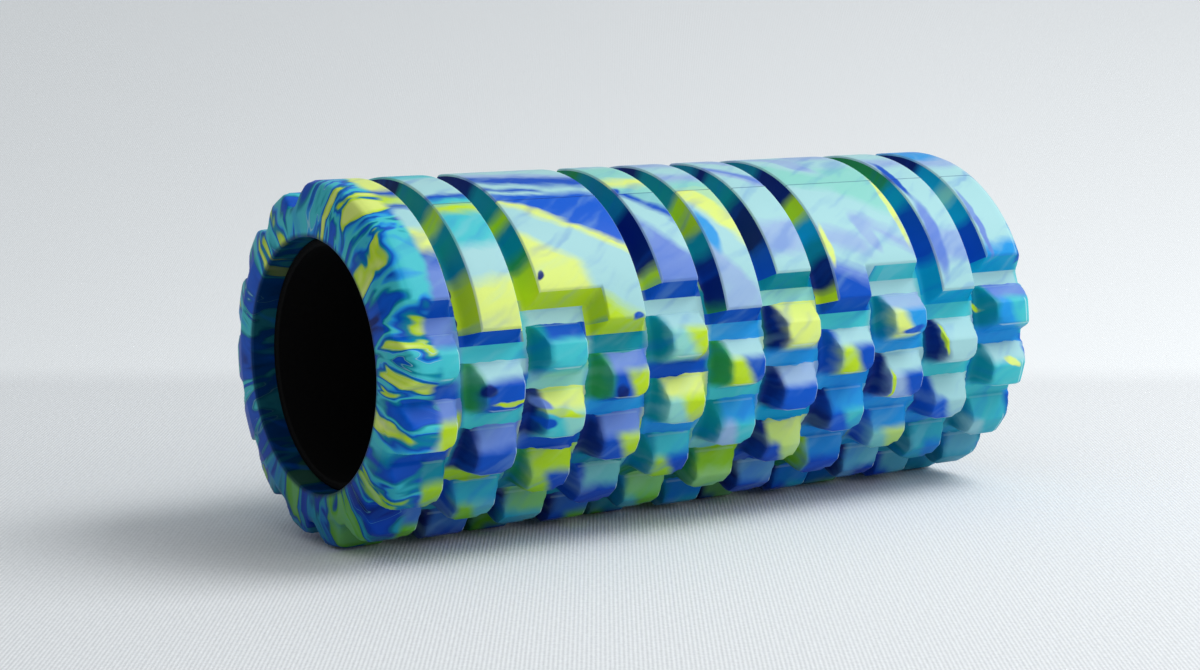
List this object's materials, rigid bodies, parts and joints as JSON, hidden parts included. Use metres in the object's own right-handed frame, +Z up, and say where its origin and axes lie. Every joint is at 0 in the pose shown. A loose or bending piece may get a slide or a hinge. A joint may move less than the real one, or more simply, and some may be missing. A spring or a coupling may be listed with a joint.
{
  "type": "foam roller",
  "caption": "Massage roller: patterned marbled foam sleeve with long strips and staggered knobs, bonded round a hollow rigid core open at both ends.",
  "frame": {"origin": "middle of the roller on its axis", "axes": "+X along the roller's axis, +Z up as the roller lies on its side with the strips uppermost, -Y towards the front"},
  "size_m": [0.31, 0.14, 0.14],
  "materials": {
    "marbled_foam": "matte marbled closed-cell foam",
    "core_plastic": "matte black"
  },
  "bodies": {
    "root": {"foam_sleeve": "marbled_foam", "core_tube": "core_plastic"}
  },
  "joints": []
}
